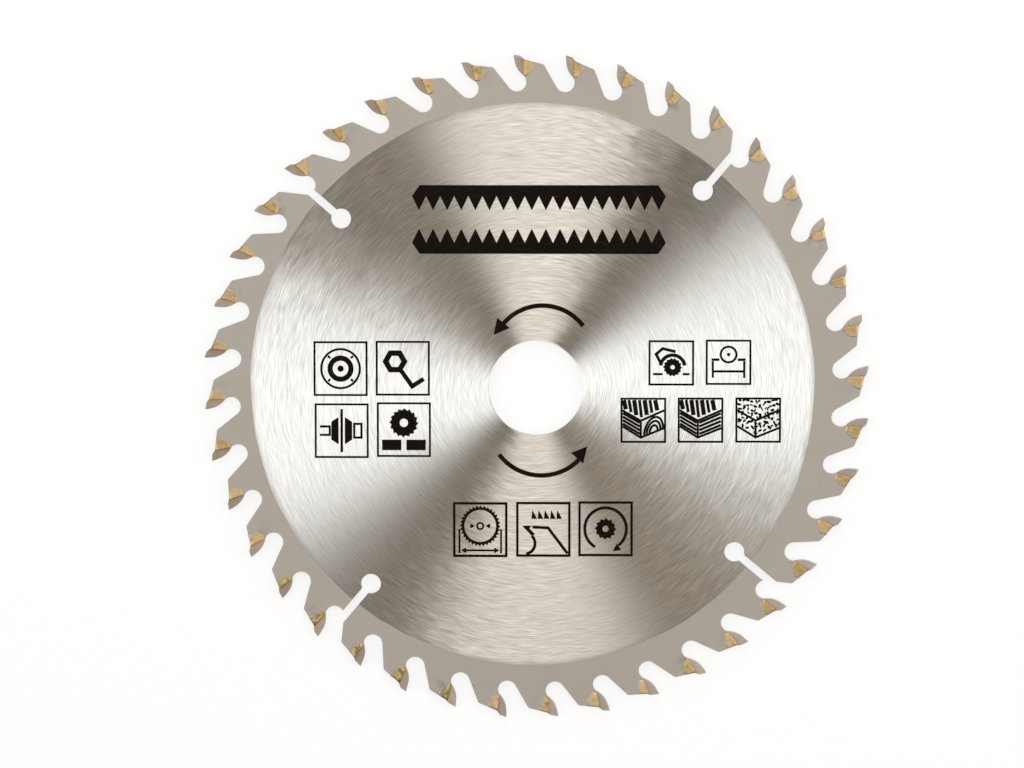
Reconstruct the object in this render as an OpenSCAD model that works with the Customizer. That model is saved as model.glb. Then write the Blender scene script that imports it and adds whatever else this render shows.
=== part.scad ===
// Circular saw blade with brazed carbide tips, lying flat with its arbor axis on Z.
// One steel plate carries the bore, the gullets, the expansion slots and a seat for every tip.
// The origin is the centre of the bore at half the plate's thickness, in millimetres and degrees.
// Seen from +Z the teeth point and run counter-clockwise.

/* [Plate] */
// Diameter over the points of the carbide tips
blade_d = 140; // [130:1:170]
// Thickness of the plate over its ground disc
plate_t = 1.3; // [1:0.05:1.6]
// Diameter of the ground disc inside the blasted tooth band
ground_d = 118; // [90:1:120]
// Depth of each blasted face below the ground disc
blast_depth = 0.02; // [0.01:0.01:0.05]
// Diameter of the arbor bore
bore_d = 20; // [12:0.5:30]

/* [Teeth] */
// Number of teeth, which alternate in pairs
tooth_count = 40; // [32:2:48]
// Angle of the first tooth from the X axis
first_tooth = 12.6; // [0:0.1:20]
// Depth of the gullets below the tip circle
gullet_depth = 7.7; // [6.5:0.1:9]
// Radius of the round floor of a gullet
gullet_r = 2; // [1.8:0.05:2.4]
// Lean of a gullet's leading wall away from the radial line
wall_lean = 35; // [25:1:42]
// Drop of a tooth's shoulder below the tip circle
shoulder_drop = 1.1; // [0.8:0.05:1.5]
// Fall of the back of a tooth behind its shoulder
back_fall = 17.6; // [10:0.2:24]
// Rounding of the heel where the back meets the next gullet
heel_r = 0.8; // [0.3:0.1:1.2]

/* [Carbide tips] */
// Width of the cut that the tips make
kerf = 2; // [1.9:0.05:2.6]
// Thickness of a tip from its cutting edge to its rear face
tip_t = 1.95; // [1.5:0.05:2.2]
// Lead of the cutting edge ahead of the centre line of its gullet
tip_lead = 0.35; // [0.1:0.05:0.6]
// Hook angle of the rake face
hook = 9; // [2:1:15]
// Radius of the nose under the rake face
nose_r = 4.5; // [2.5:0.1:6]
// Height of a tip's rear face above the shoulder
tip_rise = 0.2; // [0.1:0.05:0.4]
// Slope of the chamfer behind the top land, from the radial line
chamfer_lean = 45; // [30:1:55]
// Clearance angle of the top land
top_clearance = 12; // [8:1:16]
// Bevel of the top land, to one side on odd teeth and to the other on even teeth
top_bevel = 12; // [5:1:16]
// Clearance of the sides towards the bore
radial_clearance = 1; // [0.5:0.1:1.5]
// Clearance of the sides towards the rear face
side_clearance = 2.5; // [1:0.1:3]

/* [Braze] */
// Thickness of the braze between a tip and its seat
braze_gap = 0.1; // [0.05:0.01:0.2]
// Spread of the braze over the plate behind a tip
braze_w = 2.1; // [1:0.1:2.8]
// Radius of the rounded rim of that spread
braze_r = 3.5; // [2.8:0.1:4.5]
// Height of the braze over the plate beside the rear face
braze_rise = 0.18; // [0.1:0.01:0.2]
// Height of the braze over the plate at its rim
braze_rim = 0.03; // [0.02:0.01:0.06]
// Length of the bead of braze on the shoulder
bead_w = 0.45; // [0.2:0.05:0.8]

/* [Expansion slots] */
// Width of the slots
slot_w = 1.7; // [1:0.1:2.2]
// Diameter of the relief hole that ends a slot
relief_d = 4.2; // [3:0.1:5]
// Distance of the relief holes from the arbor axis
relief_at = 54.2; // [48:0.1:56]
// Lead of each slot ahead of the centre line of its gullet
slot_leads = [1.3, 0.4, 1.4, 1.8]; // [0:0.1:2]

/* [Hidden] */
$fn = 96;
tip_r = blade_d / 2;
pitch = 360 / tooth_count;
band_t = plate_t - 2 * blast_depth;
slot_count = len(slot_leads);

// Round stretches run this far past the straight ones that they meet, so that they cross
blend = 0.005;
// Straight stretch of the rake face that the nose always leaves, and the flats on the nose
rake_min = 1;
nose_flats = 8;
// Margin by which cutting shapes reach past what they cut
over = 1;
// Reach of the heel's cutting shape past its rounding, in distances from the centre of the rounding
heel_reach = 1 + over / heel_r;
// Inset of the braze from the edge of the tooth's back
braze_inset = 0.05;

// The tooth frame has Y along the radial centre line of the gullet and X towards the tooth's back
gullet_y = tip_r - gullet_depth + gullet_r;
rear_x = tip_t - tip_lead;
seat_x = rear_x + braze_gap;
shoulder_y = tip_r - shoulder_drop;
tip_top_y = shoulder_y + tip_rise;
clear_y = tip_r + over;
function back_y(x) = shoulder_y - (x - seat_x) * tan(back_fall);
function gullet_edge_y(x) = gullet_y + sqrt(max(0, gullet_r * gullet_r - x * x));
function turned(p, a) = [p.x * cos(a) - p.y * sin(a), p.x * sin(a) + p.y * cos(a)];

// Leading wall of the gullet, and the same wall of the gullet behind the tooth
wall_foot = [0, gullet_y] - (gullet_r - blend) * [cos(wall_lean), sin(wall_lean)];
wall_dir = [-sin(wall_lean), cos(wall_lean)];
wall_reach = 2 * gullet_depth;
next_foot = turned(wall_foot, -pitch);
next_dir = turned(wall_dir, -pitch);

// Heel: the corner of the back with that wall, and the centre and ends of its rounding
back_dir = [cos(back_fall), -sin(back_fall)];
shoulder = [seat_x, shoulder_y];
heel = shoulder + back_dir * cross(next_foot - shoulder, next_dir) / cross(back_dir, next_dir);
heel_half = acos(back_dir * next_dir) / 2;
heel_axis = -(back_dir + next_dir) / norm(back_dir + next_dir);
heel_centre = heel + heel_axis * heel_r / sin(heel_half);
heel_start = heel - back_dir * heel_r / tan(heel_half);
heel_end = heel - next_dir * heel_r / tan(heel_half);

// Nose of a tip: an arc that leaves the rake face and ends where the rear face meets the gullet
edge = [-tip_lead, tip_r];
rake_dir = [sin(hook), -cos(hook)];
rake_in = [cos(hook), sin(hook)];
tip_foot = [rear_x, gullet_edge_y(rear_x)];
foot_down = (tip_foot - edge) * rake_dir;
foot_in = (tip_foot - edge) * rake_in;
nose_max = (pow(foot_down - rake_min, 2) / foot_in + foot_in) / 2;
nose_fit = min(nose_r, nose_max);
nose_drop = sqrt(foot_in * (2 * nose_fit - foot_in));
nose_centre = edge + rake_dir * (foot_down - nose_drop) + rake_in * nose_fit;
nose_sweep = atan2(nose_drop, nose_fit - foot_in);
tip_points = concat(
    [edge],
    [for (i = [0 : nose_flats]) nose_centre + turned(-rake_in * nose_fit, nose_sweep * i / nose_flats)],
    [
        [rear_x, tip_top_y],
        [rear_x - (tip_r - tip_top_y) * tan(chamfer_lean), tip_r]
    ]
);

// Braze: centre of its rounded rim, and the fall of its face from the tip to that rim
braze_centre = [rear_x + braze_w - braze_r, back_y(rear_x + braze_w)];
braze_fall = atan2(braze_rise - braze_rim, braze_w);
bead_end = [rear_x + bead_w, back_y(rear_x + bead_w) - braze_inset];

function tip_name(k) = str("carbide_tip_", k < 10 ? "0" : "", k);

// Stands a tooth's shape, drawn in the tooth frame, at tooth number k
module at_tooth(k) {
    rotate(first_tooth + pitch * (k - 1) - 90) children();
}

// Block on one side of the XY plane, far larger than a tooth
module block(side) {
    size = 4 * gullet_depth;
    translate([0, 0, side * size / 2]) cube(size, center = true);
}

// What is cut away ahead of one tooth's seat, over its back and round its heel
module tooth_gap() {
    translate([0, gullet_y]) circle(gullet_r);
    polygon([
        [0, gullet_y],
        [seat_x, gullet_y],
        [seat_x, clear_y],
        wall_foot + wall_dir * wall_reach,
        wall_foot
    ]);
    polygon([
        [seat_x - over, back_y(seat_x - over)],
        heel + back_dir * over,
        [heel.x + over, clear_y],
        [seat_x - over, clear_y]
    ]);
    heel_rounding();
}

// The corner outside the heel's rounding
module heel_rounding() {
    difference() {
        polygon([
            heel_centre,
            heel_centre + heel_reach * (heel_start - heel_centre),
            heel_centre + heel_reach * (heel - heel_centre),
            heel_centre + heel_reach * (heel_end - heel_centre)
        ]);
        translate(heel_centre) circle(heel_r + blend);
    }
}

// Radial slot from a gullet inwards to its round relief hole
module expansion_slot() {
    slot_end = gullet_y + gullet_r;
    translate([-slot_w / 2, relief_at]) square([slot_w, slot_end - relief_at]);
    translate([0, relief_at]) circle(d = relief_d);
}

// Toothed outline of the plate with its slots
module plate_outline() {
    difference() {
        circle(tip_r);
        for (k = [1 : tooth_count]) at_tooth(k) tooth_gap();
        for (i = [0 : slot_count - 1]) {
            k = floor((i + 0.5) * tooth_count / slot_count);
            at_tooth(k) rotate(slot_leads[i]) expansion_slot();
        }
    }
}

// Steel plate: the thin blasted band with its teeth, and the ground disc that stands just proud of it
module blade_body() {
    color([0.72, 0.7, 0.67])
    difference() {
        linear_extrude(height = plate_t, center = true) plate_outline();
        cylinder(d = bore_d, h = plate_t + 2 * over, center = true);
        for (side = [-1, 1]) translate([0, 0, side * (band_t / 2 + over / 2)]) blasted_ring();
    }
}

// Ring outside the ground disc that blasting takes off one face
module blasted_ring() {
    difference() {
        cylinder(r = tip_r + over, h = over, center = true);
        cylinder(d = ground_d, h = 2 * over, center = true);
    }
}

// Carbide tip with its top land bevelled away from the high side, and its sides ground to clear the cut
module carbide_tip(high_side) {
    color([0.58, 0.55, 0.52])
    difference() {
        linear_extrude(height = kerf, center = true) polygon(tip_points);
        translate([edge.x, edge.y, high_side * kerf / 2])
            rotate([0, 0, -top_clearance])
                rotate([-high_side * top_bevel - 90, 0, 0])
                    block(1);
        for (side = [-1, 1])
            translate([edge.x, edge.y, side * kerf / 2])
                rotate([side * radial_clearance, side * side_clearance, 0])
                    block(side);
    }
}

// Side view of one braze joint: the film on the seat with its bead, and the spread behind it
module braze_outline() {
    spread_end = rear_x + braze_w + over;
    difference() {
        union() {
            polygon([
                [rear_x, gullet_y],
                [seat_x, gullet_y],
                [bead_end.x, bead_end.y - over],
                bead_end,
                [rear_x, tip_top_y - braze_inset]
            ]);
            intersection() {
                translate(braze_centre) circle(braze_r);
                polygon([
                    [rear_x, gullet_y],
                    [spread_end, gullet_y],
                    [spread_end, back_y(spread_end) - braze_inset],
                    [rear_x, back_y(rear_x) - braze_inset]
                ]);
            }
        }
        translate([0, gullet_y]) circle(gullet_r);
    }
}

// Side view of the tooth behind its seat, wide enough to clear the braze
module tooth_shoulder() {
    end_x = rear_x + braze_w + 2 * over;
    polygon([
        [seat_x, gullet_y - over],
        [end_x, gullet_y - over],
        [end_x, back_y(end_x)],
        shoulder
    ]);
}

// Braze of one tooth: a film between tip and seat that spreads over both faces of the plate
module braze_joint() {
    difference() {
        linear_extrude(height = band_t + 2 * braze_rise, center = true) braze_outline();
        linear_extrude(height = band_t, center = true) tooth_shoulder();
        for (side = [-1, 1])
            translate([rear_x, gullet_y, side * (band_t / 2 + braze_rise)])
                rotate([0, side * braze_fall, 0])
                    block(side);
    }
}

module braze_joints() {
    color([0.78, 0.65, 0.4])
    for (k = [1 : tooth_count]) at_tooth(k) braze_joint();
}

blade_body();
braze_joints();
for (k = [1 : tooth_count])
    at_tooth(k) carbide_tip(k % 2 == 0 ? -1 : 1);
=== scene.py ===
"""Looks of a 40-tooth carbide-tipped circular saw blade, lying flat and seen from above."""
import math

import bmesh
import bpy
from mathutils import Matrix, Vector


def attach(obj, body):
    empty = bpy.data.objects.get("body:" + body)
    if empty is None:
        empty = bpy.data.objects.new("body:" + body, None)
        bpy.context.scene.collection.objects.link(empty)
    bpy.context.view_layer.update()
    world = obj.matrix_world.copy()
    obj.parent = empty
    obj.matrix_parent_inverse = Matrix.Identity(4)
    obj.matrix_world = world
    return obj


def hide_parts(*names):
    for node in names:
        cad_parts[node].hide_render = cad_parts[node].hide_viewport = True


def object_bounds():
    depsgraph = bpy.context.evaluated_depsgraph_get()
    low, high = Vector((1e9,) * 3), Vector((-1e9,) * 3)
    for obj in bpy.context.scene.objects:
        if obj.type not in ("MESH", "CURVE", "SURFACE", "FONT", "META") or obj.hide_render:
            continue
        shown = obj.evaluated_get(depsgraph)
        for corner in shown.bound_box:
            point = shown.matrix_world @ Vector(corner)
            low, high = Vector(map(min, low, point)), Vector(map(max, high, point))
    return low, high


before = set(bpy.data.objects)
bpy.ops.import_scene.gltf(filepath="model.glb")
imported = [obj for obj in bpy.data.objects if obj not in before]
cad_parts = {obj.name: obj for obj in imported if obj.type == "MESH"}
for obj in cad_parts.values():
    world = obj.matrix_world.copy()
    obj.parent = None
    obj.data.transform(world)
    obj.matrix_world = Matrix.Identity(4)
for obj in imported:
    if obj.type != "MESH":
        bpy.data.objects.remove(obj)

CAD_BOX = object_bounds()
MM = 0.001
MIDDLE = (0.0, 0.0)
ON_FLAT = (1.0, 1.0, 0.0)
FLAT_TILT = 0.5

# Blade, in millimetres and degrees; TOOTH_BACK is how much of the rim behind a tip counts as its tooth
PLATE_FACE = 0.65
BAND_FACE = 0.63
GROUND_R = 59.0
TEETH = 40
FIRST_TOOTH = 12.6
TOOTH_PITCH = 360.0 / TEETH
TOOTH_BACK = 6.0

# Edge of the grinding, a wavy circle a little off the arbor; the arcs, in degrees, lie between the slots
RUN_CENTRE = (-0.82, 0.70)
RUN_R = 59.22
RUN_WAVES = ((11.0, 0.08), (29.0, 0.05))
RUN_SINK = 0.005
RUN_LEAST = 0.02
RUN_MOST = 2.0
GROUND_ARCS = ((38.0, 49.0), (50.8, 138.1), (139.9, 229.1), (230.9, 237.0))
BLASTED_ARCS = ((240.5, 319.5), (321.3, 393.0))

# Braze seat, from a tooth's own centre line
SEAT_X = 1.6
SHOULDER_Y = 68.9
SEAT_HEIGHT = 3.4
SEAT_FILM = 0.1
BACK_FALL = math.tan(math.radians(17.6))

# Fillets of braze: wings on both faces, a bead on top, and how much longer or shorter each one may be
BRAZE_REACH = 2.1
BRAZE_RIM_R = 3.5
BRAZE_RISE = 0.18
BRAZE_RIM = 0.004
BRAZE_RIM_DROP = 0.63
BRAZE_SINK = 0.02
BRAZE_INSET = 0.05
BRAZE_RIPPLE = 0.45
RIPPLE_SCALE = 1.1
WING_HOLLOW = 1.6
BEAD_HOLLOW = 1.5
BEAD_REACH = 0.45
BEAD_RISE = 0.16
WING_POINTS = (9, 10, 2)
BEAD_POINTS = (5, 2, 5)
FILM_POINTS = (2, 2, 2)
SHORT_FILLET = (0.90, 1.0, 1.0)
LONG_FILLET = (1.28, 1.0, 1.0)
BRAZE_SEED = 11
BATCH_SEED = 7

# Camera, fitted to the photograph's tips and bore
CAMERA_PLACE = (0.0261, 0.0765, 0.9466)
CAMERA_LENS = 158.9
CAMERA_SENSOR = 36.0
CAMERA_SHIFT = (-0.0235, 0.0037)


# Node trees

class Graph:
    """Adds nodes to one tree; a socket given as a value is linked, anything else is set."""

    def __init__(self, tree):
        self.tree = tree

    def node(self, kind, inputs=None, **settings):
        made = self.tree.nodes.new(kind)
        for name, value in settings.items():
            setattr(made, name, value)
        for key, value in (inputs or {}).items():
            self.feed(made.inputs[key], value)
        return made

    def geometry(self, kind, inputs=None, **settings):
        """First output of a geometry node."""
        return self.node("GeometryNode" + kind, inputs, **settings).outputs[0]

    def feed(self, socket, value):
        if isinstance(value, bpy.types.NodeSocket):
            self.tree.links.new(value, socket)
        else:
            socket.default_value = value

    def math(self, operation, *values):
        return self.node("ShaderNodeMath", dict(enumerate(values)), operation=operation).outputs[0]

    def chain(self, operation, first, *others):
        for other in others:
            first = self.math(operation, first, other)
        return first

    def add(self, *values):
        return self.chain("ADD", *values)

    def times(self, *values):
        return self.chain("MULTIPLY", *values)

    def minus(self, first, second):
        return self.math("SUBTRACT", first, second)

    def sway(self, share, amount):
        """A value from 0 to 1 about its middle, times amount."""
        return self.times(self.add(share, -0.5), amount)

    def weighed(self, start, values, weights):
        """start, plus each value times its weight."""
        return self.add(start, *[self.times(value, weight) for value, weight in zip(values, weights)])

    def linear(self, value, slope, start):
        """start plus slope times value."""
        return self.math("MULTIPLY_ADD", value, slope, start)

    def vector(self, operation, *values):
        made = self.node("ShaderNodeVectorMath", dict(enumerate(values)), operation=operation)
        scalar = operation in ("LENGTH", "DOT_PRODUCT")
        return made.outputs["Value" if scalar else "Vector"]

    def scaled(self, vector, factor):
        sockets = {"Vector": vector, "Scale": factor}
        return self.node("ShaderNodeVectorMath", sockets, operation="SCALE").outputs["Vector"]

    def turned(self, vector, angle):
        """vector turned about the blade's axis, by an angle in radians."""
        sockets = {"Vector": vector, "Angle": angle}
        return self.node("ShaderNodeVectorRotate", sockets, rotation_type="Z_AXIS").outputs["Vector"]

    def split(self, vector):
        return self.node("ShaderNodeSeparateXYZ", {"Vector": vector}).outputs

    def joined(self, x=0.0, y=0.0, z=0.0):
        return self.node("ShaderNodeCombineXYZ", {"X": x, "Y": y, "Z": z}).outputs["Vector"]

    def ramp(self, value, low, high, start=0.0, end=1.0):
        """value eased from low..high to start..end, held outside that range."""
        sockets = {"Value": value, "From Min": low, "From Max": high, "To Min": start, "To Max": end}
        made = self.node("ShaderNodeMapRange", sockets, interpolation_type="SMOOTHSTEP")
        return made.outputs["Result"]

    def noise(self, vector, scale, detail=2.0, roughness=0.5):
        sockets = {"Vector": vector, "Scale": scale, "Detail": detail, "Roughness": roughness}
        return self.node("ShaderNodeTexNoise", sockets).outputs["Fac"]

    def blend(self, factor, first, second, mode="MIX"):
        """Colour between first and second."""
        sockets = {0: factor, 6: first, 7: second}
        return self.node("ShaderNodeMix", sockets, data_type="RGBA", blend_type=mode).outputs[2]

    def drawn(self, low, high, seed):
        """A random vector between two others, for each point or instance."""
        sockets = {0: low, 1: high, "Seed": seed}
        return self.node("FunctionNodeRandomValue", sockets, data_type="FLOAT_VECTOR").outputs["Value"]


def colour(red, green, blue):
    return (red, green, blue, 1.0)


class Finish(Graph):
    """A material's tree with one Principled shader; point is the surface point in millimetres."""

    def __init__(self, name, **fixed):
        """Fixed values go on the shader's own sockets."""
        self.material = bpy.data.materials.new(name)
        self.material.use_nodes = True
        super().__init__(self.material.node_tree)
        self.shader = next(n for n in self.tree.nodes if n.type == "BSDF_PRINCIPLED")
        for socket, value in fixed.items():
            self.shader.inputs[socket.replace("_", " ")].default_value = value
        self.point = self.scaled(self.node("ShaderNodeTexCoord").outputs["Object"], 1.0 / MM)

    def dressed(self, base, roughness, height, strength, depth):
        """The material, with what varies over it fed into its shader; height is that of its bumps."""
        sockets = {"Height": height, "Strength": strength, "Distance": depth * MM}
        normal = self.node("ShaderNodeBump", sockets).outputs["Normal"]
        for socket, value in (("Base Color", base), ("Roughness", roughness), ("Normal", normal)):
            self.feed(self.shader.inputs[socket], value)
        return self.material

    def patches(self, *noise):
        return self.noise(self.point, *noise)

    def around(self, centre_x=0.0, centre_y=0.0):
        """Outward direction from a centre, and the distance from it, on the flat."""
        flat = self.vector("MULTIPLY", self.point, ON_FLAT)
        arm = self.vector("SUBTRACT", flat, (centre_x, centre_y, 0.0))
        return self.vector("NORMALIZE", arm), self.vector("LENGTH", arm)

    def facing(self, side):
        """How far the point lies towards a side of the blade, given in degrees: from -1 to 1."""
        outward, _ = self.around()
        turn = math.radians(side)
        return self.vector("DOT_PRODUCT", outward, (math.cos(turn), math.sin(turn), 0.0))

    def streaks(self, radius, length, width, detail=1.0):
        """Noise drawn out along the circles of that radius, in streaks of this length and width."""
        flat = self.vector("MULTIPLY", self.point, (1.0 / length, 1.0 / length, 0.0))
        place = self.vector("ADD", flat, self.joined(z=self.times(radius, 1.0 / width)))
        return self.noise(place, 1.0, detail)

    def tinted(self, base, shade):
        """A colour made lighter or darker by one number."""
        return self.blend(1.0, base, self.joined(shade, shade, shade), "MULTIPLY")

    def tooth_place(self):
        """Distance behind the tooth's centre line and from the arbor, and the tooth's random number."""
        _, radius = self.around()
        sides = self.split(self.point)
        angle = self.math("ARCTAN2", sides["Y"], sides["X"])
        from_first = self.add(angle, -math.radians(FIRST_TOOTH - TOOTH_BACK))
        turns = self.math("DIVIDE", from_first, math.radians(TOOTH_PITCH))
        number = self.math("FLOOR", turns)
        ahead = self.minus(self.math("FRACT", turns), TOOTH_BACK / TOOTH_PITCH)
        behind = self.times(ahead, -math.radians(TOOTH_PITCH), radius)
        draw = self.node("ShaderNodeTexWhiteNoise", {"W": number}, noise_dimensions="1D")
        return behind, radius, draw.outputs["Value"]


# Finishes. Noise is scale per millimetre, detail and roughness; streaks are length and width in millimetres;
# a ramp is the range it runs over and, where they aren't 0 and 1, its two ends; a bump is strength and depth

# Ground face: three sets of streaks, and how much each turns the brushing, in radians, and shades it
GROUND_BARE = colour(0.74, 0.73, 0.70)
# colour of the dull films and of the painted shade patches
GROUND_FILM_AND_SHADE = colour(0.38, 0.33, 0.27)
HAIRS = (3.6, 0.17)
LINES = (5.0, 0.30)
CROSSINGS = (3.6, 0.20)
STREAK_TURNS = (0.20, 0.06, 0.10)
STREAK_SHADES = (0.72, 0.18, 0.60)
WANDER_NOISE = (0.14, 2.0)
WANDER = 0.9
VEER_NOISE = (0.07, 1.0)
VEER = 5.0
GROUND_BLUR = 0.39
HAIR_BLUR = 0.08
HAIR_BUMP = (0.08, 0.003)

# Where the grinding runs out it is a little darker and duller
RUN_RAGGED = 0.9
RUN_FADE = (RUN_R - 1.2, RUN_R + 0.1)
RUN_DIM = 0.10
RUN_BLUR = 0.14

# Dull films on the ground face, part of them painted shade: the wide ones at 142 and 56 degrees, which
# hardly blur, darken the dark diagonals. Angle in degrees, distance from the arbor, half sizes outwards and
# round the arbor in millimetres, softness of the edge, how much they cover, and how much they blur
FILMS_AND_PAINTED_SHADE = (
    (50.5, 53.0, 6.5, 8.8, 0.20, 0.30, 0.07),
    (65.5, 55.5, 2.5, 3.5, 0.25, 0.24, 0.06),
    (142.0, 50.5, 12.0, 11.0, 0.60, 0.40, 0.02),
    (239.0, 57.5, 2.0, 7.0, 0.30, 0.20, 0.06),
    (151.0, 58.0, 4.0, 6.5, 0.80, 0.28, 0.04),
    (56.0, 42.0, 8.0, 6.0, 0.80, 0.26, 0.0),
)
FILM_AND_SHADE_NOISE = (0.40, 4.0, 0.6)
FILM_AND_SHADE_RAGGED = 4.0
FILM_AND_SHADE_STREAKED = 3.0
FILM_AND_SHADE_OVER = 0.4


def film(look, ragged, angle, reach, half_out, half_round, soft):
    """1 inside one of the dull films and patches of painted shade, and 0 outside it, with a ragged edge."""
    turned = look.turned(look.point, -math.radians(angle))
    place = look.split(look.vector("SUBTRACT", turned, (reach, 0.0, 0.0)))
    inside = []
    for offset, half in ((place["X"], half_out), (place["Y"], half_round)):
        away = look.math("ABSOLUTE", look.add(offset, ragged))
        inside.append(look.ramp(away, (1.0 - soft) * half, (1.0 + FILM_AND_SHADE_OVER * soft) * half, 1.0, 0.0))
    return look.times(*inside)


def ground_steel():
    """Circular-ground plate face: streaks round the arbor that spread reflections outwards, dull films and
    patches of painted shade.
    """
    look = Finish("ground_steel", Metallic=1.0, Anisotropic=1.0)
    outward, radius = look.around()
    wander = look.add(radius, look.sway(look.patches(*WANDER_NOISE), WANDER))
    veer = look.add(radius, look.sway(look.patches(*VEER_NOISE), VEER))
    hairs = look.streaks(wander, *HAIRS)
    lines = look.streaks(wander, *LINES)
    crossing = look.streaks(veer, *CROSSINGS)
    swings = [look.add(noise, -0.5) for noise in (hairs, lines, crossing)]
    turn = look.weighed(0.0, swings, STREAK_TURNS)
    look.feed(look.shader.inputs["Tangent"], look.turned(outward, turn))

    shade = look.weighed(1.0, swings, STREAK_SHADES)
    blur = look.add(GROUND_BLUR, look.sway(hairs, HAIR_BLUR))
    ragged = look.add(look.sway(look.patches(*FILM_AND_SHADE_NOISE), FILM_AND_SHADE_RAGGED), look.sway(lines, FILM_AND_SHADE_STREAKED))
    cover = 0.0
    # dull films, and patches of painted shade that darken the dark diagonals
    for *outline, share, rough in FILMS_AND_PAINTED_SHADE:
        inside = film(look, ragged, *outline)
        cover = look.linear(inside, share, cover)
        blur = look.linear(inside, rough, blur)
    _, run_radius = look.around(*RUN_CENTRE)
    runout = look.ramp(look.add(run_radius, look.sway(crossing, RUN_RAGGED)), *RUN_FADE)
    shade = look.times(shade, look.linear(runout, -RUN_DIM, 1.0))
    blur = look.linear(runout, RUN_BLUR, blur)
    steel = look.tinted(look.blend(cover, GROUND_BARE, GROUND_FILM_AND_SHADE), shade)
    return look.dressed(steel, blur, hairs, *HAIR_BUMP)


# Toothed rim: its shade, what grain and cloud add to it, and where soot lies
BLASTED_GREY = colour(0.435, 0.404, 0.366)
BLASTED_SHADE = 0.90
BLASTED_SHADES = (0.10, 0.10)
GRAIN_NOISE = (9.0, 3.0, 0.6)
CLOUD_NOISE = (0.10, 3.0)
SOOT_NOISE = (0.55, 3.0)
SOOT_BEHIND = (2.5, 6.5, 1.0, 0.0)
SOOT_RIM = (63.0, 66.5)
SOOT_TEETH = (0.45, 1.0)
SOOT_WISPS = (0.42, 0.62)
SOOT_DARK = 0.30
BLASTED_BLUR = (0.3, 0.7, 0.55, 0.68)
GRAIN_BUMP = (0.25, 0.010)


def blasted_steel():
    """Even satin grey of the toothed rim, with soot behind a few of the brazed seats."""
    look = Finish("blasted_steel", Metallic=1.0)
    behind, radius, draw = look.tooth_place()
    grain = look.patches(*GRAIN_NOISE)
    cloud = look.patches(*CLOUD_NOISE)
    wisp = look.patches(*SOOT_NOISE)
    shade = look.weighed(BLASTED_SHADE, (grain, cloud), BLASTED_SHADES)
    near_seat = look.times(look.ramp(behind, *SOOT_BEHIND), look.ramp(radius, *SOOT_RIM))
    soot = look.times(near_seat, look.ramp(draw, *SOOT_TEETH), look.ramp(wisp, *SOOT_WISPS))
    shade = look.times(shade, look.linear(soot, -SOOT_DARK, 1.0))
    grey = look.tinted(BLASTED_GREY, shade)
    return look.dressed(grey, look.ramp(grain, *BLASTED_BLUR), grain, *GRAIN_BUMP)


CUT_DARK = colour(0.30, 0.28, 0.25)
CUT_PALE = colour(0.48, 0.45, 0.41)
CUT_DRAWN = (1.0, 1.0, 0.12)
CUT_NOISE = (5.0, 3.0)
CUT_BLUR = (0.3, 0.7, 0.42, 0.60)
CUT_BUMP = (0.20, 0.02)


def cut_steel():
    """Walls of the gullets, slots and bore: duller, with lines across the plate's thickness."""
    look = Finish("cut_steel", Metallic=1.0)
    lines = look.noise(look.vector("MULTIPLY", look.point, CUT_DRAWN), *CUT_NOISE)
    steel = look.blend(lines, CUT_DARK, CUT_PALE)
    return look.dressed(steel, look.ramp(lines, *CUT_BLUR), lines, *CUT_BUMP)


# The side of the rim where tips and braze carry painted light and the tips are cleanest, and the side
# where the braze is darker in patches, in degrees
LIT_AND_CLEAN_SIDE = 345.0
DARK_BRAZE_SIDE = 238.0

# Tips: painted light and shade, lighter and greyer towards the lit side of the rim and darker and browner
# away from it; what lines, the tooth's own number and mottle add to the shade, and what mottle, number and
# cleanness add to the distance at which the stain begins
TIP_SHADED = colour(0.350, 0.292, 0.241)
TIP_LIT = colour(0.480, 0.435, 0.390)
TIP_LIGHT_RANGE = (-0.8, 1.2)
TIP_LINES = (2.0, 0.08)
TIP_NOISE = (1.3, 3.0, 0.6)
TIP_SHADE = 0.86
TIP_SHADES = (0.16, 0.24, 0.35)
STAIN_DARK = colour(0.26, 0.19, 0.10)
STAIN_PALE = colour(0.50, 0.37, 0.18)
STAIN_MOVES = (2.2, 0.30, -0.15)
STAIN_EDGE = (SEAT_X - 0.70, SEAT_X + 0.50, 0.0, 0.80)
TIP_BLUR = (0.3, 0.7, 0.38, 0.50)
TIP_BUMP = (0.15, 0.006)


def carbide():
    """Fine-ground grey tips, each of its own tone, painted lighter on one side of the rim, stained by the
    braze towards the seat.
    """
    look = Finish("carbide", Metallic=1.0)
    behind, radius, draw = look.tooth_place()
    lines = look.streaks(radius, *TIP_LINES)
    mottle = look.add(look.patches(*TIP_NOISE), -0.5)
    lit_and_clean = look.facing(LIT_AND_CLEAN_SIDE)
    shade = look.weighed(TIP_SHADE, (lines, draw, mottle), TIP_SHADES)
    # painted light and shade: tips lighter and greyer towards the lit side of the rim, darker and browner
    # away from it
    grey = look.blend(look.ramp(lit_and_clean, *TIP_LIGHT_RANGE), TIP_SHADED, TIP_LIT)
    reach = look.weighed(behind, (mottle, draw, lit_and_clean), STAIN_MOVES)
    stained = look.blend(draw, STAIN_DARK, STAIN_PALE)
    base = look.blend(look.ramp(reach, *STAIN_EDGE), look.tinted(grey, shade), stained)
    return look.dressed(base, look.ramp(lines, *TIP_BLUR), lines, *TIP_BUMP)


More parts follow.
